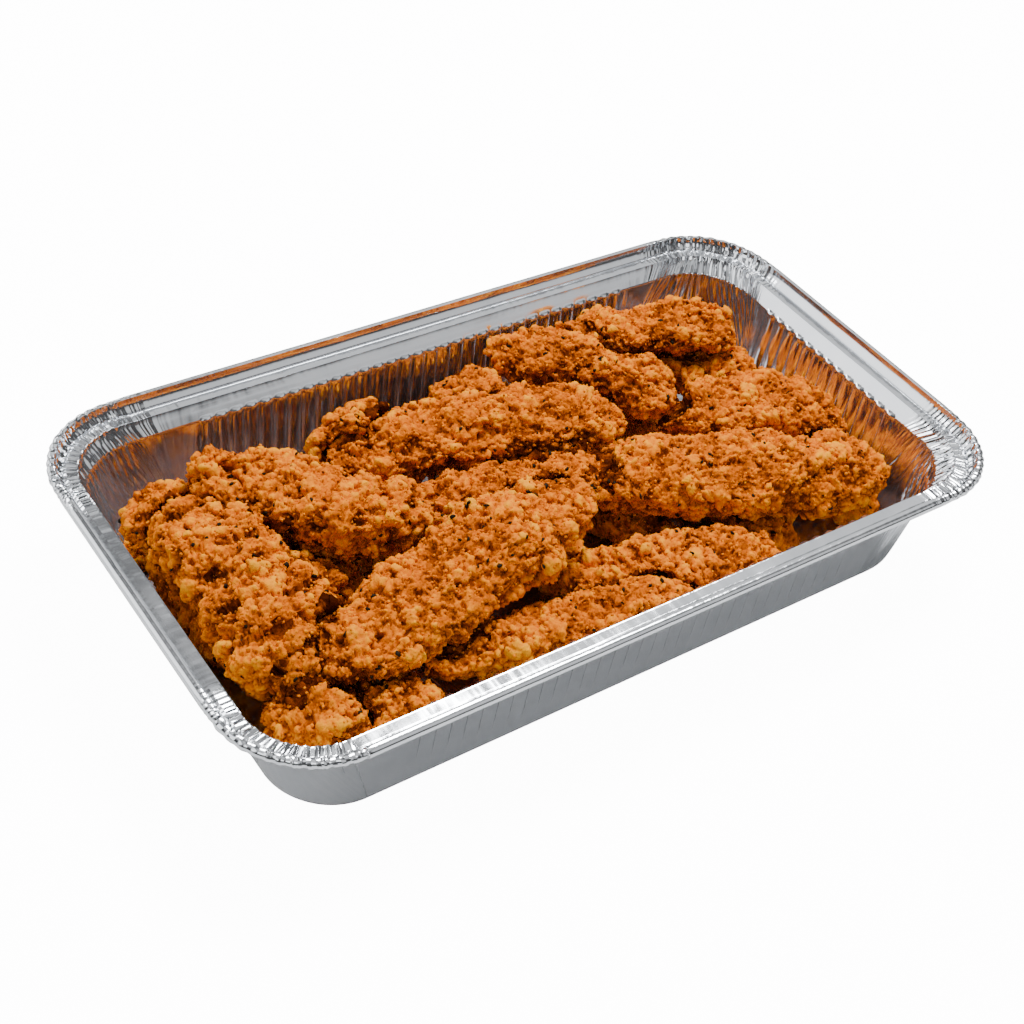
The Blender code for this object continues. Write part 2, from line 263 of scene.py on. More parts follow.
def corner_radii(height, outset, inward):
    share = min(max(height / LEDGE, 0.0), 1.0)
    grown = max(outset, 0.0) - inward
    wide = BASE_CORNER + (MOUTH_CORNER - BASE_CORNER) * share + grown
    tight = LEFT_BASE_CORNER + (MOUTH_CORNER - LEFT_BASE_CORNER) * share + grown
    return wide, tight


def loop_columns(outset, height, inward):
    """Points, outward directions, place along the side, and whether a column is in a corner."""
    right = LENGTH / 2 + outset
    left = right - LEFT_LEAN * max(0.0, LEDGE - height)
    left += LEFT_SHIFT * height / LEDGE * np.interp(outset, LEFT_BLEND, (1.0, 0.0))
    half = WIDTH / 2 + outset
    wide, tight = corner_radii(height, outset, inward)
    sides = (
        (tight - left, right - wide, half, FLUTES_LONG, 0, wide),
        (wide - half, half - wide, right, FLUTES_SHORT, 90, wide),
        (wide - right, left - tight, half, FLUTES_LONG, 180, tight),
        (tight - half, half - tight, left, FLUTES_SHORT, 270, tight),
    )
    points, outward, places, corner = [], [], [], []
    for start, end, across_by, flutes, turn, radius in sides:
        angle = math.radians(turn)
        along = np.array((math.cos(angle), math.sin(angle)))
        across = np.array((math.sin(angle), -math.cos(angle)))
        run = side_places(start, end, flutes)
        points.append(run[:, None] * along + across * across_by)
        outward.append(np.tile(across, (len(run), 1)))
        places.append(run)
        corner.append(np.zeros(len(run)))
        bend = np.radians(90) * np.arange(1, CORNER_COLUMNS) / CORNER_COLUMNS
        arm = np.outer(np.cos(bend), across) + np.outer(np.sin(bend), along)
        points.append(along * end + across * (across_by - radius) + arm * radius)
        outward.append(arm)
        places.append(np.full(len(bend), 1.0))
        corner.append(np.ones(len(bend)))
    return (np.concatenate(points), np.concatenate(outward),
            np.concatenate(places), np.concatenate(corner))


edge_points, _, _, in_corner = loop_columns(0.0, LEDGE, 0.0)
gaps = np.linalg.norm(np.roll(edge_points, -1, axis=0) - edge_points, axis=1)
travel = np.concatenate(([0.0], np.cumsum(gaps)[:-1]))
total_travel = gaps.sum()
print("columns:", len(travel), "ledge length in mm:", round(total_travel / MM))

# %% [markdown]
# ## Pleats and creases
#
# Flat foil that is drawn round a corner has too much length, so it gathers into small pleats.
# They could be painted, but foil shows every fold as a bright and a dark facet, so the folds are
# made in the mesh: a zigzag of heights at uneven spacings, strong in the corners and gone on the
# straight sides. The ledge, the step, the bead and the wall get their own zigzags, because the
# press folds each of them separately.

# %% Folds along the ledge
def zigzag(seed, spacing_low, spacing_high, alternate=True):
    """A chain of straight folds round the tray, from -1 to 1, at uneven spacings."""
    dice = np.random.default_rng(seed)
    knots = [0.0]
    while knots[-1] < total_travel:
        knots.append(knots[-1] + dice.uniform(spacing_low, spacing_high) * MM)
    heights = dice.uniform(0.35, 1.0, len(knots))
    if alternate:
        heights *= np.where(np.arange(len(knots)) % 2, 1.0, -1.0)
    else:
        heights = heights * 2 - 1.35
    heights[-1] = heights[0]
    return lambda place: np.interp(place % total_travel, knots, heights)


def corner_windows(margin):
    """1 in the corners, fading to 0 over a margin along the straight sides."""
    inside = travel[in_corner > 0]
    groups = np.split(inside, np.where(np.diff(inside) > 5 * MM)[0] + 1)
    window = np.zeros(len(travel))
    for group in groups:
        before = (travel - group[0]) / margin + 1
        after = (group[-1] - travel) / margin + 1
        window = np.maximum(window, np.clip(np.minimum(before, after), 0, 1))
    return window


pleat_zone = corner_windows(7 * MM)
crease_zone = corner_windows(16 * MM)
ledge_fold = zigzag(3, 0.9, 2.3)
step_fold = zigzag(5, 0.8, 1.8)
bead_fold = zigzag(7, 0.9, 1.9)
wall_fold = zigzag(11, 0.7, 1.9)
long_fold = zigzag(13, 3.5, 9.0, alternate=False)
ripple_fold = zigzag(17, 1.6, 5.0, alternate=False)
slack_fold = zigzag(19, 14.0, 34.0, alternate=False)
print("pleated columns:", int((pleat_zone > 0).sum()))


# %% Shape of the foil
def relief(out, height, zone):
    """How far each column of a row is pushed outward and upward by folds and slackness."""
    push = np.zeros(len(travel))
    lift = np.zeros(len(travel))
    slack = slack_fold(travel + height * 0.6)
    if zone == "wall":
        share = (height - FLUTE_FOOT) / (LEDGE - FLUTE_FOOT)
        fan = travel + 0.12 * (LEDGE - height) * np.sin(travel / (9 * MM))
        strength = crease_zone ** 1.3 * share ** 0.6
        push += strength * (0.45 * wall_fold(fan) + 0.85 * long_fold(fan)) * MM
        push += 0.22 * MM * slack * math.sin(math.pi * share)
    elif zone in ("lip", "ledge"):
        lift += pleat_zone * 0.42 * MM * ledge_fold(travel + 0.25 * (out - 3 * MM))
        lift += (1 - pleat_zone) * 0.07 * MM * ripple_fold(travel + 0.3 * out)
        push += pleat_zone * 0.2 * MM * wall_fold(travel)
        lift += 0.10 * MM * slack
    elif zone == "groove":
        lift += pleat_zone * 0.2 * MM * step_fold(travel)
    elif zone == "step":
        push += pleat_zone * 0.34 * MM * step_fold(travel)
    elif zone == "bead":
        amount = pleat_zone * 0.30 * MM * (bead_fold(travel + 0.15 * height) - 0.9)
        from_centre = np.array((out - BEAD_OUT, height - LEDGE - BEAD_UP)) / BEAD_RADIUS
        push += amount * from_centre[0]
        lift += amount * from_centre[1]
        lift += 0.06 * MM * slack * max(from_centre[1], 0.0)
    return push, lift


def tray_mesh():
    count = len(travel)
    places, outwards, runs, presses = [], [], [], []
    for out, height, inward, zone in rows:
        points, outward, run, corner = loop_columns(out, height, inward)
        push, lift = relief(out, height, zone)
        flat = points + outward * push[:, None]
        places.append(np.column_stack((flat, height + lift)))
        outwards.append(np.column_stack((outward, np.zeros(count))))
        runs.append(run)
        flutes = np.where(np.abs(outward[:, 1]) > 0.5, FLUTES_LONG, FLUTES_SHORT)
        fluted = (corner == 0) & (np.abs(run) <= flutes * PITCH / 2 + 0.001 * MM)
        strength = np.where(outward[:, 0] < -0.5, LEFT_PRESS, 1.0)
        presses.append(fluted * (zone == "wall") * strength)
    faces = [tuple(range(count))]
    for row in range(len(rows) - 1):
        first, second = row * count, (row + 1) * count
        for i in range(count):
            j = (i + 1) % count
            faces.append((first + j, first + i, second + i, second + j))
    mesh = bpy.data.meshes.new("tray_foil")
    mesh.from_pydata(np.concatenate(places).tolist(), [], faces)
    along = [travel + 0.3 * (height - LEDGE) * np.sin(travel / (11 * MM))
             for out, height, inward, zone in rows]
    creased = [crease_zone * (0.0 if zone == "floor" else 1.0)
               for out, height, inward, zone in rows]
    flares = [np.full(count, FLARE * max(height - FLARE_LINE, 0.0))
              for out, height, inward, zone in rows]
    for name, values in (("run", runs), ("press", presses), ("along", along),
                         ("creased", creased), ("flare", flares)):
        layer = mesh.attributes.new(name, "FLOAT", "POINT")
        layer.data.foreach_set("value", np.concatenate(values))
    layer = mesh.attributes.new("outward", "FLOAT_VECTOR", "POINT")
    layer.data.foreach_set("vector", np.concatenate(outwards).ravel())
    return mesh


plain_tray = tray_mesh()
print("plain foil faces:", len(plain_tray.polygons))

# %% [markdown]
# ## Flutes with Geometry Nodes
#
# The walls get their stiffness from a row of pressed ribs. They repeat at one pitch, so a rule
# makes them: the place along the side gives the position inside a rib, a rounded curve gives its
# height there, and an arch ends it like the top of a tombstone. Where the wall flares, the rib
# stands proud by the flare as well, so it runs on straight. The tree presses any wall that carries
# the four attributes, and its inputs are the sizes that a toolmaker would quote.

# %% Geometry tree that presses the flutes
def flute_tree(material):
    tree, given, result = new_group(
        "Pressed flutes", "GeometryNodeTree",
        (("Geometry", "NodeSocketGeometry", None), ("Pitch", "NodeSocketFloat", 0.006),
         ("Depth", "NodeSocketFloat", 0.0013), ("Top", "NodeSocketFloat", 0.04),
         ("Foot", "NodeSocketFloat", 0.004), ("Arch", "NodeSocketFloat", 0.002),
         ("Phase long", "NodeSocketFloat", 0.0), ("Phase short", "NodeSocketFloat", 0.5),
         ("Face", "NodeSocketFloat", 0.86), ("Fade", "NodeSocketFloat", 0.01),
         ("Material", "NodeSocketMaterial", None)),
        (("Geometry", "NodeSocketGeometry"),))

    def attribute(name, kind):
        node = add_node(tree, "GeometryNodeInputNamedAttribute", {"Name": name}, data_type=kind)
        return live_output(node)

    run = attribute("run", "FLOAT")
    press = attribute("press", "FLOAT")
    outward = attribute("outward", "FLOAT_VECTOR")
    parts = add_node(tree, "ShaderNodeSeparateXYZ", {0: outward})
    long_side = calc(tree, "GREATER_THAN", calc(tree, "ABSOLUTE", parts.outputs["Y"]), 0.5)
    phase = add_node(tree, "ShaderNodeMix", {0: long_side, 2: given["Phase short"],
                                             3: given["Phase long"]}, data_type="FLOAT")
    turns = calc(tree, "ADD", calc(tree, "DIVIDE", run, given["Pitch"]), phase.outputs[0])
    across = calc(tree, "MULTIPLY_ADD", calc(tree, "FRACT", turns), 2.0, -1.0)
    place = add_node(tree, "GeometryNodeInputPosition").outputs[0]
    height = add_node(tree, "ShaderNodeSeparateXYZ", {0: place}).outputs["Z"]
    above = calc(tree, "SUBTRACT", height, calc(tree, "SUBTRACT", given["Top"], given["Arch"]))
    past = calc(tree, "DIVIDE", calc(tree, "MAXIMUM", above, 0.0), given["Arch"])
    risen = calc(tree, "DIVIDE", calc(tree, "SUBTRACT", height, given["Foot"]), given["Fade"])
    risen = calc(tree, "MINIMUM", calc(tree, "MAXIMUM", risen, 0.0), 1.0)
    apart = calc(tree, "MULTIPLY_ADD", past, past, calc(tree, "MULTIPLY", across, across))
    dome = calc(tree, "MINIMUM", calc(tree, "DIVIDE", apart, given["Face"]), 1.0)
    dome = calc(tree, "SUBTRACT", 1.0, calc(tree, "POWER", dome, 1.5))
    rib = calc(tree, "SQRT", calc(tree, "MAXIMUM", dome, 0.0))
    amount = calc(tree, "MULTIPLY", rib, calc(tree, "MULTIPLY", press, risen))
    proud = calc(tree, "ADD", given["Depth"], attribute("flare", "FLOAT"))
    amount = calc(tree, "MULTIPLY", amount, calc(tree, "MULTIPLY", proud, -1.0))
    moved = add_node(tree, "GeometryNodeSetPosition",
                     {"Geometry": given["Geometry"], "Offset": scaled(tree, outward, amount)})
    real = add_node(tree, "GeometryNodeRealizeInstances", {"Geometry": moved.outputs[0]})
    done = add_node(tree, "GeometryNodeSetMaterial",
                    {"Geometry": real.outputs[0], "Material": given["Material"]})
    tree.links.new(done.outputs[0], result["Geometry"])
    return tree


print("flute tree defined")

# %% [markdown]
# ## Aluminium foil
#
# Rolled foil is bare metal: fully metallic, bright, and only a little rough. What makes it look
# real is unevenness. The rolls leave faint lines, handling leaves duller patches, and the sheet is
# never quite flat. A shader group gives colour, roughness and height from object coordinates, and
# the shader itself stays in the material.

# %% Foil material
def foil_group():
    tree, given, result = new_group(
        "Rolled foil", "ShaderNodeTree",
        (("Vector", "NodeSocketVector", None), ("Blotch size", "NodeSocketFloat", 0.012),
         ("Line size", "NodeSocketFloat", 0.0006)),
        (("Color", "NodeSocketColor"), ("Roughness", "NodeSocketFloat"),
         ("Height", "NodeSocketFloat")))
    blotch_scale = calc(tree, "DIVIDE", 1.0, given["Blotch size"])
    blotch = add_node(tree, "ShaderNodeTexNoise",
                      {"Vector": given["Vector"], "Scale": blotch_scale, "Detail": 4.0})
    soft = add_node(tree, "ShaderNodeTexNoise",
                    {"Vector": given["Vector"], "Scale": blotch_scale, "Detail": 1.0})
    stretched = vector_calc(tree, "MULTIPLY", given["Vector"], (0.04, 1.0, 1.0))
    line_scale = calc(tree, "DIVIDE", 1.0, given["Line size"])
    lines = add_node(tree, "ShaderNodeTexNoise",
                     {"Vector": stretched, "Scale": line_scale, "Detail": 2.0})
    sheen = calc(tree, "MULTIPLY_ADD", lines.outputs["Fac"], 0.25, blotch.outputs["Fac"])
    colour = add_node(tree, "ShaderNodeMix",
                      {0: sheen, 6: (0.64, 0.67, 0.71, 1), 7: (0.80, 0.82, 0.85, 1)},
                      data_type="RGBA")
    tree.links.new(colour.outputs[2], result["Color"])
    tree.links.new(mapped(tree, blotch.outputs["Fac"], 0.3, 0.7, 0.08, 0.16), result["Roughness"])
    tree.links.new(soft.outputs["Fac"], result["Height"])
    return tree


def new_material(name, metallic, **plain):
    material = bpy.data.materials.new(name)
    material.use_nodes = True
    tree = material.node_tree
    shader = tree.nodes["Principled BSDF"]
    shader.inputs["Metallic"].default_value = metallic
    for label, value in plain.items():
        shader.inputs[label.replace("_", " ")].default_value = value
    where = add_node(tree, "ShaderNodeTexCoord").outputs["Object"]
    return material, tree, shader, where


FOIL_METALLIC = 0.945
CREASES = 560.0                   # fine creases in one metre of the corners
CREASE_HEIGHT = 2.4
STREAKS = 300.0                   # faint drawing lines in one metre, across rim and wall
STREAK_HEIGHT = 0.28
PRESSED_LOSS = -0.75 * STREAK_HEIGHT  # pressing smooths most of them out


def foil_material(group):
    material, tree, shader, where = new_material("Aluminium foil", FOIL_METALLIC)
    sheet = add_node(tree, "ShaderNodeGroup", node_tree=group)
    tree.links.new(where, sheet.inputs["Vector"])
    along = add_node(tree, "ShaderNodeAttribute", attribute_name="along").outputs["Fac"]
    creased = add_node(tree, "ShaderNodeAttribute", attribute_name="creased").outputs["Fac"]
    folds = add_node(tree, "ShaderNodeTexVoronoi", {"W": along, "Scale": CREASES},
                     voronoi_dimensions="1D")
    folds = calc(tree, "MULTIPLY", folds.outputs["Distance"], creased)
    height = calc(tree, "MULTIPLY_ADD", folds, CREASE_HEIGHT, sheet.outputs["Height"])
    streaks = add_node(tree, "ShaderNodeTexNoise", {"W": along, "Scale": STREAKS, "Detail": 1.0},
                       noise_dimensions="1D")
    press = add_node(tree, "ShaderNodeAttribute", attribute_name="press").outputs["Fac"]
    faint = calc(tree, "MULTIPLY_ADD", press, PRESSED_LOSS, STREAK_HEIGHT)
    height = calc(tree, "MULTIPLY_ADD", streaks.outputs["Fac"], faint, height)
    bump = add_node(tree, "ShaderNodeBump", {"Strength": 0.6, "Distance": 0.0004,
                                             "Height": height})
    tree.links.new(sheet.outputs["Color"], shader.inputs["Base Color"])
    tree.links.new(sheet.outputs["Roughness"], shader.inputs["Roughness"])
    tree.links.new(bump.outputs["Normal"], shader.inputs["Normal"])
    return material


foil = foil_material(foil_group())
print("material:", foil.name)

# %% [markdown]
# ## The finished tray
#
# The tree presses the flutes into the plain sheet, Solidify gives the foil its thickness away
# from the food, and the result becomes one plain mesh that stands for the solid tray.

# %% Build the tray
def add_piece(name, mesh):
    mesh.name = name
    piece = bpy.data.objects.new(name, mesh)
    bpy.context.scene.collection.objects.link(piece)
    return piece


def finish_piece(piece, slot_name, *replaced):
    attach(piece, "root")
    if replaced:
        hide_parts(*replaced)


flutes = flute_tree(foil)
draft_tray = add_piece("tray_draft", plain_tray)
pressed = run_tree(draft_tray, flutes, {
    "Pitch": PITCH, "Depth": FLUTE_DEPTH, "Top": FLUTE_TOP, "Foot": FLUTE_FOOT,
    "Arch": FLUTE_ARCH, "Fade": FLUTE_FADE, "Phase long": 0.0, "Phase short": 0.5,
    "Material": foil})
bpy.data.objects.remove(draft_tray)
tray = add_piece("tray_foil", pressed)
tray.data.shade_smooth()
wall = tray.modifiers.new("Foil thickness", "SOLIDIFY")
wall.thickness = FOIL
wall.offset = -1
bpy.context.view_layer.update()
solid_foil = bpy.data.meshes.new_from_object(
    tray.evaluated_get(bpy.context.evaluated_depsgraph_get()))
tray.modifiers.clear()
tray.data = solid_foil
tray.data.set_sharp_from_angle(angle=math.radians(35))
finish_piece(tray, "foil", "tray")
print("foil faces:", len(tray.data.polygons))

# %% [markdown]
# ## Breaded crust with Geometry Nodes
#
# Flour and batter fry into a crust of bubbles on bubbles. It could be sculpted, but all tenders
# share one rule, so a tree makes it. The plain solid is remeshed finely, its cuts are smoothed
# like soft meat, and it is pinched where a neighbour is near. Then layers of relief push it out:
# crosswise ridges, broad folds, clumps, nodules, grain and flakes. Each layer follows the surface
# that the last one left, so bubbles grow on the flanks of bubbles. The tree keeps the height of
# the bubbles as an attribute, which colours the crests lighter than the hollows. This is partly
# real browning and partly painted shade; the attribute also holds painted shade in the valleys
# between ridges and where a neighbour is near.

# %% Geometry tree for the crust
RIDGE_SHADE = 80.0                # how much darker a valley between ridges is, by its depth
RIDGE_MEAN = 0.75


def crust_tree():
    tree, given, result = new_group(
        "Fried crust", "GeometryNodeTree",
        (("Geometry", "NodeSocketGeometry", None), ("Seed", "NodeSocketInt", 0),
         ("Smoothing", "NodeSocketInt", 20),
         ("Neighbours", "NodeSocketObject", None), ("Pinch reach", "NodeSocketFloat", 0.0052),
         ("Pinch depth", "NodeSocketFloat", 0.0016),
         ("Axis", "NodeSocketVector", (1.0, 0.0, 0.0)),
         ("Ridge pitch", "NodeSocketFloat", 0.0125), ("Ridge height", "NodeSocketFloat", 0.0),
         ("Fold size", "NodeSocketFloat", 0.013), ("Fold height", "NodeSocketFloat", 0.0032),
         ("Clump size", "NodeSocketFloat", 0.0074), ("Clump height", "NodeSocketFloat", 0.0031),
         ("Nodule size", "NodeSocketFloat", 0.0036), ("Nodule height", "NodeSocketFloat", 0.0013),
         ("Grain size", "NodeSocketFloat", 0.0017), ("Grain height", "NodeSocketFloat", 0.0007),
         ("Flake size", "NodeSocketFloat", 0.0034), ("Flake height", "NodeSocketFloat", 0.0016),
         ("Crumb density", "NodeSocketFloat", 60000.0),
         ("Crumb size", "NodeSocketFloat", 0.00070),
         ("Pepper density", "NodeSocketFloat", 3800.0),
         ("Pepper size", "NodeSocketFloat", 0.00115),
         ("Crust", "NodeSocketMaterial", None), ("Pepper", "NodeSocketMaterial", None)),
        (("Geometry", "NodeSocketGeometry"),))
    place = add_node(tree, "GeometryNodeInputPosition").outputs[0]
    normal = add_node(tree, "GeometryNodeInputNormal").outputs[0]
    soft = add_node(tree, "GeometryNodeBlurAttribute",
                    {"Value": place, "Iterations": given["Smoothing"]},
                    data_type="FLOAT_VECTOR")
    shape = add_node(tree, "GeometryNodeSetPosition",
                     {"Geometry": given["Geometry"], "Position": live_output(soft)}).outputs[0]
    shift = add_node(tree, "ShaderNodeCombineXYZ",
                     {0: calc(tree, "MULTIPLY", given["Seed"], 0.37),
                      1: calc(tree, "MULTIPLY", given["Seed"], 0.11), 2: 0.5}).outputs[0]
    home = vector_calc(tree, "ADD", place, shift)

    def bubbles(size, width):
        """Rounded pebbles: high inside a cell, down to nothing at its seams."""
        wobble = add_node(tree, "ShaderNodeTexNoise",
                          {"Vector": home, "Scale": calc(tree, "DIVIDE", 0.8, size),
                           "Detail": 2.0})
        bent = vector_calc(tree, "SUBTRACT", wobble.outputs["Color"], (0.5, 0.5, 0.5))
        bent = scaled(tree, bent, calc(tree, "MULTIPLY", size, 1.5))
        where = vector_calc(tree, "ADD", home, bent)
        scale = calc(tree, "DIVIDE", 1.0, size)
        cells = add_node(tree, "ShaderNodeTexVoronoi", {"Vector": where, "Scale": scale})
        seams = add_node(tree, "ShaderNodeTexVoronoi", {"Vector": where, "Scale": scale},
                         feature="DISTANCE_TO_EDGE")
        within = calc(tree, "MULTIPLY", seams.outputs["Distance"], width)
        short = calc(tree, "SUBTRACT", 1.0, calc(tree, "MINIMUM", within, 1.0))
        dome = calc(tree, "SUBTRACT", 1.0, calc(tree, "MULTIPLY", short, short))
        dome = calc(tree, "SQRT", calc(tree, "MAXIMUM", dome, 0.0))
        lot = add_node(tree, "ShaderNodeSeparateXYZ", {0: cells.outputs["Color"]}).outputs["X"]
        return calc(tree, "MULTIPLY", dome, calc(tree, "MULTIPLY_ADD", lot, 0.55, 0.45))

    def push(shape, value, mean, height):
        amount = calc(tree, "MULTIPLY", calc(tree, "SUBTRACT", value, mean), height)
        return add_node(tree, "GeometryNodeSetPosition",
                        {"Geometry": shape, "Offset": scaled(tree, normal, amount)}).outputs[0]

    def keep(shape, name, value):
        return add_node(tree, "GeometryNodeStoreNamedAttribute",
                        {"Geometry": shape, "Name": name, "Value": value},
                        data_type="FLOAT", domain="POINT").outputs[0]

    def noise(size, detail):
        return add_node(tree, "ShaderNodeTexNoise",
                        {"Vector": home, "Scale": calc(tree, "DIVIDE", 1.0, size),
                         "Detail": detail}).outputs["Fac"]

    calm = mapped(tree, noise(0.016, 1.0), 0.35, 0.6, 0.6, 1.0)
    dot = along_direction(tree, place, given["Axis"])
    sway = calc(tree, "MULTIPLY", calc(tree, "SUBTRACT", noise(0.02, 1.0), 0.5), 1.3)
    turns = calc(tree, "ADD", calc(tree, "DIVIDE", dot, given["Ridge pitch"]), sway)
    across = calc(tree, "MULTIPLY_ADD", calc(tree, "FRACT", turns), 2.0, -1.0)
    ridge = calc(tree, "SUBTRACT", 1.0, calc(tree, "MULTIPLY", across, across))
    ridge = calc(tree, "SQRT", calc(tree, "MAXIMUM", ridge, 0.0))
    others = add_node(tree, "GeometryNodeObjectInfo", {"Object": given["Neighbours"]})
    away = add_node(tree, "GeometryNodeProximity", {0: others.outputs["Geometry"]},
                    target_element="FACES").outputs["Distance"]
    near = calc(tree, "SUBTRACT", 1.0, calc(tree, "DIVIDE", away, given["Pinch reach"]))
    near = calc(tree, "MAXIMUM", near, 0.0)
    pinch = calc(tree, "MULTIPLY", near, calc(tree, "MULTIPLY_ADD", near, 0.5, 0.5))
    fold = bubbles(given["Fold size"], 2.0)
    clump = calc(tree, "MULTIPLY", bubbles(given["Clump size"], 2.2), calm)
    nodule = calc(tree, "MULTIPLY", bubbles(given["Nodule size"], 2.4), calm)
    grain = bubbles(given["Grain size"], 2.6)
    flake = add_node(tree, "ShaderNodeTexNoise",
                     {"Vector": home, "Scale": calc(tree, "DIVIDE", 1.0, given["Flake size"]),
                      "Detail": 3.0, "Roughness": 0.6}).outputs["Fac"]
    for name, value in (("pinch", pinch), ("ridge", ridge), ("fold", fold), ("clump", clump),
                        ("nodule", nodule), ("grain", grain), ("flake", flake)):
        shape = keep(shape, name, value)

    def recall(name):
        node = add_node(tree, "GeometryNodeInputNamedAttribute", {"Name": name}, data_type="FLOAT")
        return live_output(node)

    shape = push(shape, recall("pinch"), 0.0, calc(tree, "MULTIPLY", given["Pinch depth"], -1.0))
    shape = push(shape, recall("ridge"), RIDGE_MEAN, given["Ridge height"])
    shape = push(shape, recall("fold"), 0.55, given["Fold height"])
    shape = push(shape, recall("clump"), 0.45, given["Clump height"])
    shape = push(shape, recall("nodule"), 0.40, given["Nodule height"])
    shape = push(shape, recall("grain"), 0.5, given["Grain height"])
    shape = push(shape, recall("flake"), 0.5, given["Flake height"])
    # The crest value colours crests lighter and hollows darker: partly real browning, partly
    # painted shade.
    nodule_share = calc(tree, "MULTIPLY", recall("nodule"), 0.62)
    crest = calc(tree, "MULTIPLY", recall("nodule"), nodule_share)
    clump_share = calc(tree, "MULTIPLY", recall("clump"), 0.58)
    crest = calc(tree, "MULTIPLY_ADD", recall("clump"), clump_share, crest)
    crest = calc(tree, "MULTIPLY_ADD", recall("grain"), 0.30, crest)
    crest = calc(tree, "MULTIPLY_ADD", recall("fold"), 0.20, crest)
    flaky = calc(tree, "SUBTRACT", recall("flake"), 0.5)
    crest = calc(tree, "MULTIPLY_ADD", flaky, 0.55, crest)
    # Painted shade: the crust is painted darker where another tender is near.
    crest = calc(tree, "MULTIPLY_ADD", recall("pinch"), -0.26, crest)
    # Painted shade: the valleys between the crosswise ridges are painted darker, by their depth.
    valley = calc(tree, "MULTIPLY", given["Ridge height"], RIDGE_SHADE)
    ridged = calc(tree, "SUBTRACT", recall("ridge"), RIDGE_MEAN)
    crest = calc(tree, "MULTIPLY_ADD", ridged, valley, crest)
    shape = keep(shape, "crest", crest)
    shape = add_node(tree, "GeometryNodeSetMaterial",
                     {"Geometry": shape, "Material": given["Crust"]}).outputs[0]

    def scatter(density, size, flatness, seed):
        facing = add_node(tree, "ShaderNodeSeparateXYZ", {0: normal}).outputs["Z"]
        shown = calc(tree, "GREATER_THAN", facing, -0.35)
        number = calc(tree, "MULTIPLY_ADD", given["Seed"], 7.0, seed)
        points = add_node(tree, "GeometryNodeDistributePointsOnFaces",
                          {"Mesh": shape, "Density": calc(tree, "MULTIPLY", density, shown),
                           "Seed": number})
        ball = add_node(tree, "GeometryNodeMeshIcoSphere",
                        {"Radius": size, "Subdivisions": 1}).outputs[0]
        turn = add_node(tree, "FunctionNodeRandomValue",
                        {0: (0.0, 0.0, 0.0), 1: (6.28, 6.28, 6.28), "Seed": number},
                        data_type="FLOAT_VECTOR")
        stretch = add_node(tree, "FunctionNodeRandomValue",
                           {0: (0.45, 0.55, flatness * 0.5), 1: (1.25, 1.15, flatness),
                            "Seed": calc(tree, "ADD", number, 3.0)}, data_type="FLOAT_VECTOR")
        return add_node(tree, "GeometryNodeInstanceOnPoints",
                        {"Points": points.outputs["Points"], "Instance": ball,
                         "Rotation": turn.outputs[0], "Scale": stretch.outputs[0]}).outputs[0]

    crumbs = scatter(given["Crumb density"], given["Crumb size"], 1.1, 1.0)
    crumbs = add_node(tree, "GeometryNodeRealizeInstances", {"Geometry": crumbs}).outputs[0]
    crumbs = keep(crumbs, "crest", calc(tree, "MULTIPLY_ADD", noise(0.0016, 0.0), 0.9, 0.12))
    crumbs = add_node(tree, "GeometryNodeSetMaterial",
                      {"Geometry": crumbs, "Material": given["Crust"]}).outputs[0]
    pepper = scatter(given["Pepper density"], given["Pepper size"], 0.6, 5.0)
    pepper = add_node(tree, "GeometryNodeRealizeInstances", {"Geometry": pepper}).outputs[0]
    pepper = add_node(tree, "GeometryNodeSetMaterial",
                      {"Geometry": pepper, "Material": given["Pepper"]}).outputs[0]
    together = add_node(tree, "GeometryNodeJoinGeometry")
    for part in (pepper, crumbs, shape):
        tree.links.new(part, together.inputs[0])
    smooth = add_node(tree, "GeometryNodeSetShadeSmooth", {"Geometry": together.outputs[0]})
    tree.links.new(smooth.outputs[0], result["Geometry"])
    return tree


crust_rule = crust_tree()
print("crust tree nodes:", len(crust_rule.nodes))

# %% [markdown]
# ## Fried colours
#
# Breading browns from the crests down: thin tips turn golden, and whole patches fry redder or
# browner than others. The crest attribute drives a colour ramp, so the hollows come out dark,
# partly from real browning and partly as painted shade. Soft noise shifts it in patches, and small
# cells scatter pepper dust. Object coordinates keep the pattern fixed to the food.

# %% Crust and pepper materials
CRUST_RAMP = (
    (0.00, (0.045, 0.006, 0.0003, 1)),
    (0.22, (0.22, 0.036, 0.0003, 1)),
    (0.44, (0.62, 0.134, 0.0003, 1)),
    (0.68, (0.84, 0.236, 0.0003, 1)),
    (1.00, (0.90, 0.350, 0.001, 1)),
)


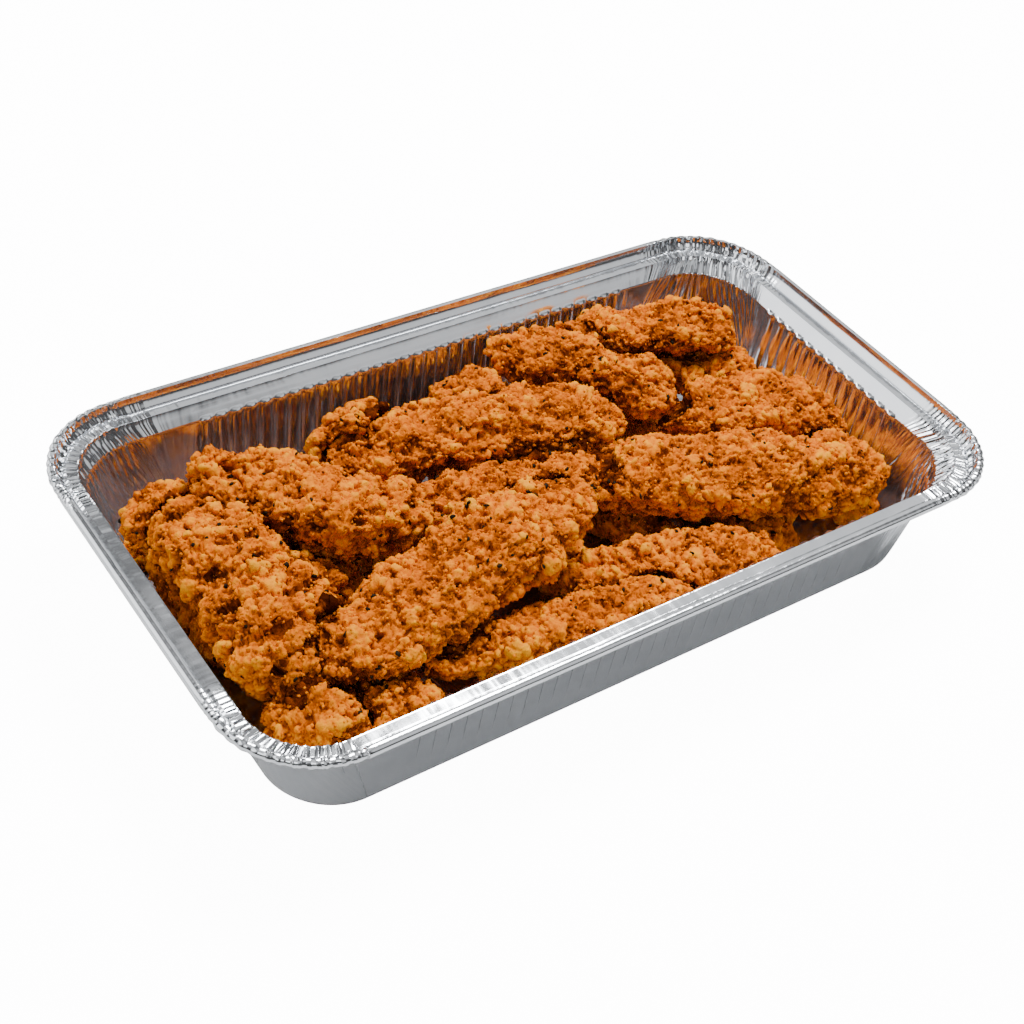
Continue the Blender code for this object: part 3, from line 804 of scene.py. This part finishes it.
def crust_group():
    tree, given, result = new_group(
        "Fried breading", "ShaderNodeTree",
        (("Vector", "NodeSocketVector", None), ("Crest", "NodeSocketFloat", 0.5),
         ("Patch size", "NodeSocketFloat", 0.02), ("Grain size", "NodeSocketFloat", 0.0009)),
        (("Color", "NodeSocketColor"), ("Roughness", "NodeSocketFloat"),
         ("Height", "NodeSocketFloat")))

    def noise(size, detail, factor=1.0):
        scale = calc(tree, "DIVIDE", factor, size)
        return add_node(tree, "ShaderNodeTexNoise",
                        {"Vector": given["Vector"], "Scale": scale, "Detail": detail}
                        ).outputs["Fac"]

    patch = noise(given["Patch size"], 2.0)
    grain = noise(given["Grain size"], 3.0)
    speckle = noise(given["Grain size"], 1.0, 0.35)
    # The crest darkens the hollows: partly real browning and partly painted shade.
    tone = calc(tree, "MULTIPLY_ADD", calc(tree, "SUBTRACT", grain, 0.5), 0.30, given["Crest"])
    tone = calc(tree, "MULTIPLY_ADD", calc(tree, "SUBTRACT", speckle, 0.5), 0.35, tone)
    tone = calc(tree, "MULTIPLY_ADD", calc(tree, "SUBTRACT", patch, 0.5), 0.22, tone)
    ramp = add_node(tree, "ShaderNodeValToRGB", {0: tone})
    stops = ramp.color_ramp.elements
    while len(stops) < len(CRUST_RAMP):
        stops.new(0.5)
    for stop, (position, colour) in zip(stops, CRUST_RAMP):
        stop.position = position
        stop.color = colour
    cells = add_node(tree, "ShaderNodeTexVoronoi", {"Vector": given["Vector"], "Scale": 420.0})
    near = calc(tree, "LESS_THAN", cells.outputs["Distance"], 0.22)
    lot = add_node(tree, "ShaderNodeSeparateColor", {0: cells.outputs["Color"]}).outputs[0]
    dust = calc(tree, "MULTIPLY", near, calc(tree, "GREATER_THAN", lot, 0.975))
    dusted = add_node(tree, "ShaderNodeMix",
                      {0: calc(tree, "MULTIPLY", dust, 0.85), 6: ramp.outputs[0],
                       7: (0.03, 0.025, 0.015, 1)}, data_type="RGBA")
    tree.links.new(dusted.outputs[2], result["Color"])
    tree.links.new(mapped(tree, speckle, 0.3, 0.7, 0.36, 0.60), result["Roughness"])
    tree.links.new(calc(tree, "MULTIPLY_ADD", speckle, 0.8, grain), result["Height"])
    return tree


def crust_material(group):
    material, tree, shader, where = new_material("Fried crust", 0.0, Specular_IOR_Level=0.015)
    crest = add_node(tree, "ShaderNodeAttribute", attribute_name="crest").outputs["Fac"]
    bread = add_node(tree, "ShaderNodeGroup", node_tree=group)
    tree.links.new(where, bread.inputs["Vector"])
    tree.links.new(crest, bread.inputs["Crest"])
    bump = add_node(tree, "ShaderNodeBump", {"Strength": 0.7, "Distance": 0.0006,
                                             "Height": bread.outputs["Height"]})
    tree.links.new(bread.outputs["Color"], shader.inputs["Base Color"])
    tree.links.new(bread.outputs["Roughness"], shader.inputs["Roughness"])
    tree.links.new(bump.outputs["Normal"], shader.inputs["Normal"])
    return material


def pepper_material():
    material, tree, shader, where = new_material("Cracked pepper", 0.0, Roughness=0.7,
                                                 Specular_IOR_Level=0.1)
    spots = add_node(tree, "ShaderNodeTexNoise", {"Vector": where, "Scale": 900.0})
    colour = add_node(tree, "ShaderNodeMix",
                      {0: spots.outputs["Fac"], 6: (0.004, 0.003, 0.002, 1),
                       7: (0.026, 0.016, 0.007, 1)}, data_type="RGBA")
    tree.links.new(colour.outputs[2], shader.inputs["Base Color"])
    return material


crust = crust_material(crust_group())
pepper = pepper_material()
print("materials:", crust.name, "and", pepper.name)

# %% [markdown]
# ## Dress the tenders
#
# Every tender starts from a copy of its solid, whose loose triangles are merged first. A voxel
# remesh gives even faces of about half a millimetre, fine enough for every bubble. Tenders of the
# lower layer are only glimpsed, so they get coarser faces. Last, points that the crust pushed
# through the foil are brought back inside the tray.

# %% Build the crusts
FINE_VOXEL = 0.5 * MM
COARSE_VOXEL = 1.3 * MM
FINE_SMOOTHING = 28
COARSE_SMOOTHING = 8
WALL_GAP = 0.15 * MM
TOP_LIMIT = cad_box[1][2] - 0.1 * MM
PLAIN_RIDGE = 0.5 * MM
RIDGES = {"tender_left_front": 3.4 * MM, "tender_upper_left": 3.2 * MM}


def keep_inside(mesh):
    count = len(mesh.vertices)
    flat = np.empty(count * 3)
    mesh.vertices.foreach_get("co", flat)
    spot = flat.reshape(-1, 3)
    height = np.clip(spot[:, 2], FLOOR + WALL_GAP, TOP_LIMIT)
    rib = np.where(height > FLUTE_TOP + 0.3 * MM, 0.3 * MM, FLUTE_DEPTH)
    inset = WALL_IN + DRAFT * np.maximum(LEDGE - height, 0) + rib + WALL_GAP
    inset -= FLARE * np.maximum(height - FLARE_LINE, 0)
    share = np.clip(height / LEDGE, 0, 1)
    leftward = spot[:, 0] < 0
    base = np.where(leftward, LEFT_BASE_CORNER, BASE_CORNER)
    radius = base + (MOUTH_CORNER - base) * share
    lean = LEFT_LEAN * np.maximum(LEDGE - height, 0) - LEFT_SHIFT * share
    lean = np.where(leftward, lean, 0)
    half_x = LENGTH / 2 - inset - lean
    half_y = WIDTH / 2 - inset
    x, y = np.abs(spot[:, 0]), np.abs(spot[:, 1])
    out_x, out_y = x - (half_x - radius), y - (half_y - radius)
    reach = np.hypot(out_x, out_y)
    bent = (out_x > 0) & (out_y > 0) & (reach > radius)
    safe = np.where(bent, radius / np.maximum(reach, 1e-9), 1.0)
    x = np.where(bent, half_x - radius + out_x * safe, np.minimum(x, half_x))
    y = np.where(bent, half_y - radius + out_y * safe, np.minimum(y, half_y))
    spot[:, 0] = np.sign(spot[:, 0]) * x
    spot[:, 1] = np.sign(spot[:, 1]) * y
    spot[:, 2] = height
    mesh.vertices.foreach_set("co", spot.ravel())
    mesh.update()


def merged_copy(node):
    bm = bmesh.new()
    bm.from_mesh(node.data)
    bmesh.ops.remove_doubles(bm, verts=bm.verts, dist=0.01 * MM)
    mesh = bpy.data.meshes.new(node.name + "_plain")
    bm.to_mesh(mesh)
    bm.free()
    return mesh


def long_axis(mesh):
    """The direction in which a mesh is longest."""
    flat = np.empty(len(mesh.vertices) * 3)
    mesh.vertices.foreach_get("co", flat)
    spots = flat.reshape(-1, 3)
    return np.linalg.svd(spots - spots.mean(axis=0), full_matrices=False)[2][0]


def other_solids(name):
    """One object made of all the tenders but this one."""
    bm = bmesh.new()
    for other in tenders:
        if other != name:
            bm.from_mesh(nodes[other].data)
    mesh = bpy.data.meshes.new("others")
    bm.to_mesh(mesh)
    bm.free()
    return add_piece("others", mesh)


def bread(draft, name, seed, coarse, axis, replaced=()):
    """Turns a draft object into one breaded piece and returns its number of faces."""
    others = other_solids(name)
    mesh = run_tree(draft, crust_rule, {
        "Seed": seed, "Smoothing": COARSE_SMOOTHING if coarse else FINE_SMOOTHING,
        "Crust": crust, "Pepper": pepper, "Neighbours": others, "Axis": axis,
        "Ridge height": RIDGES.get(name, PLAIN_RIDGE)})
    bpy.data.objects.remove(draft)
    bpy.data.objects.remove(others)
    keep_inside(mesh)
    finish_piece(add_piece(name + "_crust", mesh), "crust", *replaced)
    return len(mesh.polygons)


def dress_tender(name, seed):
    low = name.startswith("tender_low")
    draft = add_piece(name + "_draft", merged_copy(nodes[name]))
    even = draft.modifiers.new("Even faces", "REMESH")
    even.mode = "VOXEL"
    even.voxel_size = COARSE_VOXEL if low else FINE_VOXEL
    axis = [float(v) for v in long_axis(draft.data)]
    return bread(draft, name, seed, low, axis, (name,))


face_count = 0
for seed, name in enumerate(tenders):
    face_count += dress_tender(name, seed)
print("crust faces:", face_count)

# %% [markdown]
# ## A bit of crust on the floor
#
# Breading breaks off and falls between the pieces. One such bit lies on the foil in the gap at
# the left, where the bare floor would shine through. The same tree turns a squashed ball into it.

# %% Fallen crust
FALLEN_AT = Vector((-126.5, 57.5, 4.6)) * MM
FALLEN_SIZE = Vector((6.5, 8.0, 4.2)) * MM


def fallen_crust(seed):
    bm = bmesh.new()
    bmesh.ops.create_icosphere(bm, subdivisions=5, radius=1.0)
    for point in bm.verts:
        point.co = FALLEN_AT + point.co * FALLEN_SIZE
    mesh = bpy.data.meshes.new("fallen_plain")
    bm.to_mesh(mesh)
    bm.free()
    return bread(add_piece("fallen_draft", mesh), "fallen", seed, True, [0.0, 1.0, 0.0])


print("fallen crust faces:", fallen_crust(len(tenders)))

# %% [markdown]
# ## Floor and light
#
# The picture is a studio shot on white. A pale floor lies just below the tray, and the light is
# soft and comes from above and behind. Bare metal shows what stands round it, so the world is a
# dim room with three pale cards: each one is what one side of the rim mirrors, and between them
# the metal stays grey.

# %% Floor, world and lamps
CARD_MIDDLE = (0.568, 0.530, 0.629)  # direction of a white card's middle
CARD_SIDE = (0.707, 0.0, -0.707)  # its straight edge leans this way, so the left rim misses it
BOX_SIDE = (-0.70, 0.58, 0.42)    # direction of a soft box that the right wall's lip mirrors
FRONT_SIDE = (0.49, -0.67, 0.56)  # direction of a pale card that the back wall's lip mirrors
FLOOR_DROP = -0.2 * MM
FLOOR_GLOW = 13.0                 # the camera alone sees the floor and the world this white
WORLD_GLOW = 14.0


def add_floor():
    bm = bmesh.new()
    bmesh.ops.create_grid(bm, x_segments=1, y_segments=1, size=4.0)
    mesh = bpy.data.meshes.new("floor")
    bm.to_mesh(mesh)
    bm.free()
    floor = add_piece("floor", mesh)
    floor.location.z = FLOOR_DROP
    material, tree, shader, where = new_material("Pale floor", 0.0, Roughness=0.9)
    shader.inputs["Base Color"].default_value = (0.82, 0.82, 0.82, 1)
    seen = add_node(tree, "ShaderNodeLightPath").outputs["Is Camera Ray"]
    shader.inputs["Emission Color"].default_value = (1, 1, 1, 1)
    tree.links.new(calc(tree, "MULTIPLY", seen, FLOOR_GLOW), shader.inputs["Emission Strength"])
    floor.data.materials.append(material)


def add_world():
    world = bpy.data.worlds.new("Studio")
    bpy.context.scene.world = world
    world.use_nodes = True
    tree = world.node_tree
    tree.nodes.clear()
    where = add_node(tree, "ShaderNodeTexCoord").outputs["Generated"]
    height = add_node(tree, "ShaderNodeSeparateXYZ", {0: where}).outputs["Z"]
    above = mapped(tree, height, 0.72, 0.97, 0.10, 0.9)
    below = mapped(tree, height, 0.30, 0.68, 0.30, 1.0)
    grey = calc(tree, "MULTIPLY", above, below)
    card = mapped(tree, along_direction(tree, where, CARD_SIDE), -0.274, -0.246, 0.0, 0.76)
    edge = mapped(tree, along_direction(tree, where, CARD_MIDDLE), 0.89, 0.93)
    grey = calc(tree, "MULTIPLY_ADD", card, edge, grey)
    box = mapped(tree, along_direction(tree, where, BOX_SIDE), 0.88, 0.95, 0.0, 2.4)
    grey = calc(tree, "ADD", grey, box)
    front = mapped(tree, along_direction(tree, where, FRONT_SIDE), 0.93, 0.97, 0.0, 0.75)
    grey = calc(tree, "ADD", grey, front)
    path = add_node(tree, "ShaderNodeLightPath")
    dim = calc(tree, "MULTIPLY_ADD", path.outputs["Is Diffuse Ray"], -0.55, 1.0)
    grey = calc(tree, "MULTIPLY", grey, dim)
    seen = calc(tree, "MULTIPLY", path.outputs["Is Camera Ray"], WORLD_GLOW)
    level = calc(tree, "MAXIMUM", grey, seen)
    light = add_node(tree, "ShaderNodeBackground", {"Color": (1, 1, 1, 1), "Strength": level})
    out = add_node(tree, "ShaderNodeOutputWorld")
    tree.links.new(light.outputs[0], out.inputs[0])


def add_lamp(name, place, target, width, depth, power):
    data = bpy.data.lights.new(name, "AREA")
    data.shape = "RECTANGLE"
    data.size = width
    data.size_y = depth
    data.energy = power
    lamp = bpy.data.objects.new(name, data)
    bpy.context.scene.collection.objects.link(lamp)
    lamp.location = place
    aim = Vector(target) - Vector(place)
    lamp.rotation_euler = aim.to_track_quat("-Z", "Y").to_euler()


add_floor()
add_world()
add_lamp("key", (0.40, 0.24, 1.05), (0, 0, 0.03), 0.5, 0.4, 22.5)
add_lamp("back strip", (-0.25, 1.0, 0.55), (0, 0, 0.03), 0.7, 0.2, 4.0)
add_lamp("fill", (-0.75, -0.65, 0.8), (0, 0, 0.03), 0.7, 0.5, 3.0)
print("studio ready")

# %% [markdown]
# ## Camera
#
# The camera stands where the photograph was taken from: in front of the tray's left end, about
# 42 degrees above the table, and turned a little about its own axis. Its three directions are
# written as rows of a turning matrix, and the lens follows from the fitted focal length.

# %% Camera
CAMERA_RIGHT = (0.81746, -0.56198, 0.12620)
CAMERA_DOWN = (-0.30729, -0.61085, -0.72968)
CAMERA_FORWARD = (0.48716, 0.55770, -0.67204)
CAMERA_PLACE = (-0.30250690, -0.33688129, 0.42723132)
FOCAL_PIXELS = 1682.5869
PHOTO_PIXELS = 1024
SENSOR = 36.0

camera_data = bpy.data.cameras.new("photo")
camera_data.sensor_width = SENSOR
camera_data.lens = FOCAL_PIXELS * SENSOR / PHOTO_PIXELS
camera_data.clip_start = 0.01
camera = bpy.data.objects.new("photo", camera_data)
bpy.context.scene.collection.objects.link(camera)
turned = Matrix((CAMERA_RIGHT, [-v for v in CAMERA_DOWN], [-v for v in CAMERA_FORWARD]))
camera.matrix_world = Matrix.Translation(CAMERA_PLACE) @ turned.transposed().to_4x4()
bpy.context.scene.camera = camera
print("lens in mm:", round(camera_data.lens, 2))

# %% [markdown]
# ## The solid's box
#
# The box round the solid model is printed before the scene is closed. The dressed tray may not be
# larger than the solid one.

# %% Finish
print("solid box:", [list(corner) for corner in cad_box])
